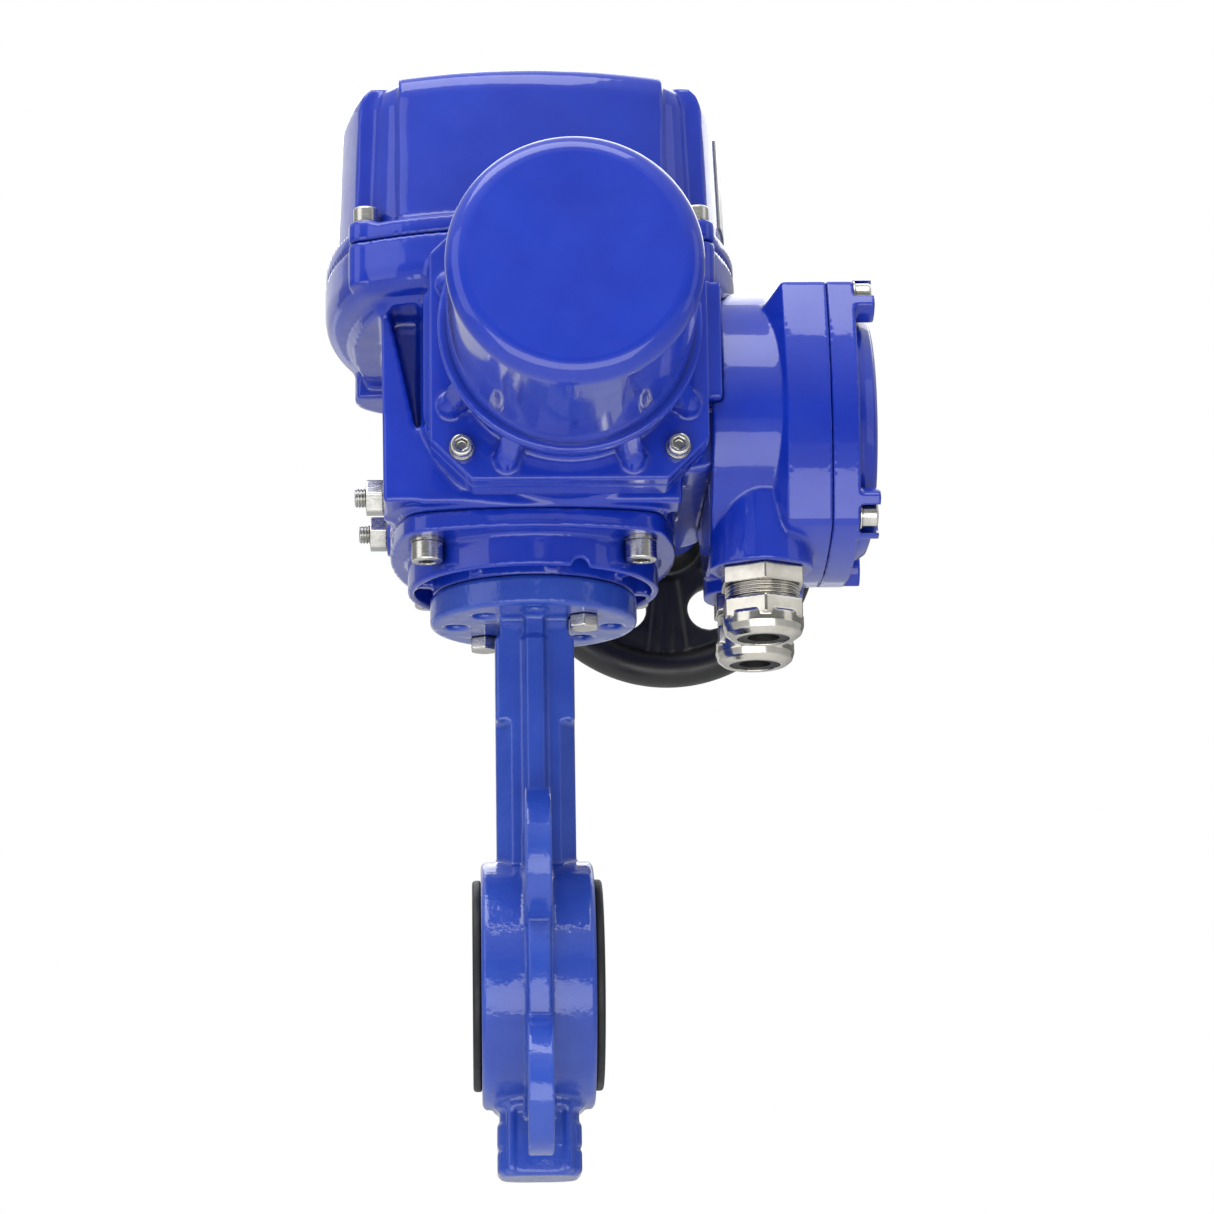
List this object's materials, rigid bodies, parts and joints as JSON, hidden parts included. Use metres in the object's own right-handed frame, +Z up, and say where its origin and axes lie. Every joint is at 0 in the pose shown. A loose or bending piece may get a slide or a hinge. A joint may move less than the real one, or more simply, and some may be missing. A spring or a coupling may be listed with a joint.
{
  "type": "motorized valve actuator",
  "caption": "Electric quarter-turn actuator with motor, worm gear, handwheel and terminal box on a wafer butterfly valve that opens and closes a pipe",
  "frame": {"origin": "centre of the valve bore, on the pipe axis", "axes": "+X along the pipe towards the terminal box, -Y towards the motor, +Y towards the handwheel, +Z up the valve stem"},
  "size_m": [0.2217, 0.3455, 0.4476],
  "materials": {
    "valve_paint": "semi-gloss blue paint over cast iron",
    "seat_rubber": "smooth black rubber",
    "disc_steel": "machined stainless steel",
    "polymer_bush": "plain white polymer",
    "seal_rubber": "black rubber",
    "stainless": "bright stainless steel",
    "actuator_paint": "gloss blue powder coat over cast aluminium",
    "train_steel": "ground steel",
    "bronze": "cut bronze",
    "bearing_steel": "polished bearing steel",
    "cam_plastic": "orange plastic",
    "pointer_paint": "yellow paint",
    "wheel_plastic": "gloss black plastic",
    "stator_iron": "varnished laminations",
    "gearhead_alloy": "turned aluminium",
    "window_glass": "clear glass",
    "plate_metal": "plain brushed plate",
    "board_green": "green board",
    "bracket_metal": "zinc plated steel",
    "switch_black": "black plastic",
    "gland_nickel": "nickel plated brass"
  },
  "bodies": {
    "frame": {"valve_body": "valve_paint", "seat_liner": "seat_rubber", "stem_bushes": "polymer_bush", "stem_seals": "seal_rubber", "shaft_seal": "seal_rubber", "gland_seals": "seal_rubber", "flange_bolts": "stainless", "base_screws": "stainless", "base_washers": "stainless", "stop_screws": "stainless", "stop_nuts": "stainless", "motor_screws": "stainless", "motor_washers": "stainless", "cover_screws": "stainless", "terminal_cover_screws": "stainless", "terminal_cover_washers": "stainless", "base_flange": "actuator_paint", "gear_housing": "actuator_paint", "motor_adapter": "actuator_paint", "motor_cap": "actuator_paint", "top_cover": "actuator_paint", "window_ring": "actuator_paint", "terminal_box": "actuator_paint", "terminal_cover": "actuator_paint", "sleeve_bearing": "bearing_steel", "worm_bearings": "bearing_steel", "drive_bearing": "bearing_steel", "rotor_bearing": "bearing_steel", "stator": "stator_iron", "gearhead": "gearhead_alloy", "window": "window_glass", "nameplate": "plate_metal", "control_board": "board_green", "board_posts": "bracket_metal", "switch_bracket": "bracket_metal", "strip_posts": "bracket_metal", "limit_switches": "switch_black", "terminal_strip": "switch_black", "gland_bodies": "gland_nickel", "gland_nuts": "gland_nickel"},
    "output": {"valve_disc": "disc_steel", "disc_pins": "disc_steel", "valve_stem": "disc_steel", "drive_sleeve": "train_steel", "worm_wheel": "bronze", "indicator_shaft": "train_steel", "cam_stack": "cam_plastic", "indicator_pointer": "pointer_paint"},
    "worm": {"worm_shaft": "train_steel", "worm_pinion": "train_steel", "handwheel": "wheel_plastic", "handwheel_nut": "stainless"},
    "drive": {"drive_shaft": "train_steel", "drive_gear": "train_steel"},
    "rotor": {"rotor": "stator_iron"}
  },
  "joints": [
    {"name": "worm_spin", "type": "hinge", "parent": "frame", "child": "worm", "pos_m": [0.061, 0, 0.21611], "axis": [0, 1, 0], "range_deg": [0, 3600]},
    {"name": "output_turn", "type": "hinge", "parent": "frame", "child": "output", "pos_m": [0, 0, 0], "axis": [0, 0, 1], "range_deg": [0, 90]},
    {"name": "drive_spin", "type": "hinge", "parent": "frame", "child": "drive", "pos_m": [0.0133, 0, 0.2365], "axis": [0, 1, 0], "range_deg": [-1470, 0]},
    {"name": "rotor_spin", "type": "hinge", "parent": "frame", "child": "rotor", "pos_m": [0.0133, 0, 0.2365], "axis": [0, 1, 0], "range_deg": [-17600, 0]}
  ],
  "couplings": [
    {"joint": "output_turn", "follows": "worm_spin", "ratio": 0.025},
    {"joint": "drive_spin", "follows": "worm_spin", "ratio": -0.40678},
    {"joint": "rotor_spin", "follows": "worm_spin", "ratio": -4.8814}
  ]
}
